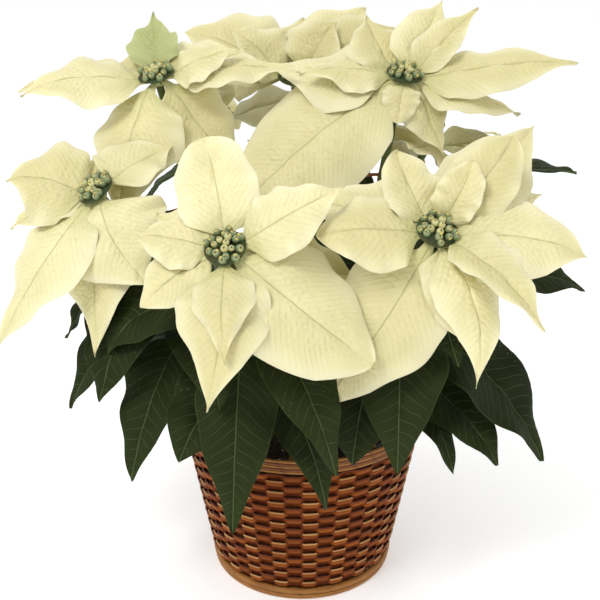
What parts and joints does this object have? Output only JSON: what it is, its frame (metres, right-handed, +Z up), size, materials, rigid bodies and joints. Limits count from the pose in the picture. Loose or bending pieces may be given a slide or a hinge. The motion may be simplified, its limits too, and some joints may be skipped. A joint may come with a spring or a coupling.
{
  "type": "potted poinsettia in a woven basket",
  "caption": "Poinsettia with layered cream bracts, green cyathia and pointed leaves, in a pot inside a tapered woven basket.",
  "frame": {"origin": "middle of the basket's foot, on the surface that it stands on", "axes": "+Z up, -Y towards the viewer of the picture, +X to the viewer's right"},
  "size_m": [0.4163, 0.378, 0.4355],
  "materials": {
    "bract": "matte",
    "leaf": "satin",
    "cyathia": "satin",
    "weave": "satin",
    "cane": "satin",
    "plastic": "matte",
    "soil": "matte"
  },
  "bodies": {
    "root": {"basket_base": "cane", "basket_foot": "cane", "basket_rim": "cane", "basket_wall": "weave", "bracts_front_left": "bract", "bracts_front_right": "bract", "bracts_left": "bract", "bracts_upper_left": "bract", "bracts_upper_right": "bract", "bracts_top": "bract", "bracts_back_left": "bract", "bracts_back_right": "bract", "cyathia_front_left": "cyathia", "cyathia_front_right": "cyathia", "cyathia_left": "cyathia", "cyathia_upper_left": "cyathia", "cyathia_upper_right": "cyathia", "cyathia_top": "cyathia", "cyathia_back_left": "cyathia", "cyathia_back_right": "cyathia", "nursery_pot": "plastic", "soil": "soil", "stem_left": "leaf", "stem_right": "leaf", "stem_back": "leaf"}
  },
  "joints": []
}
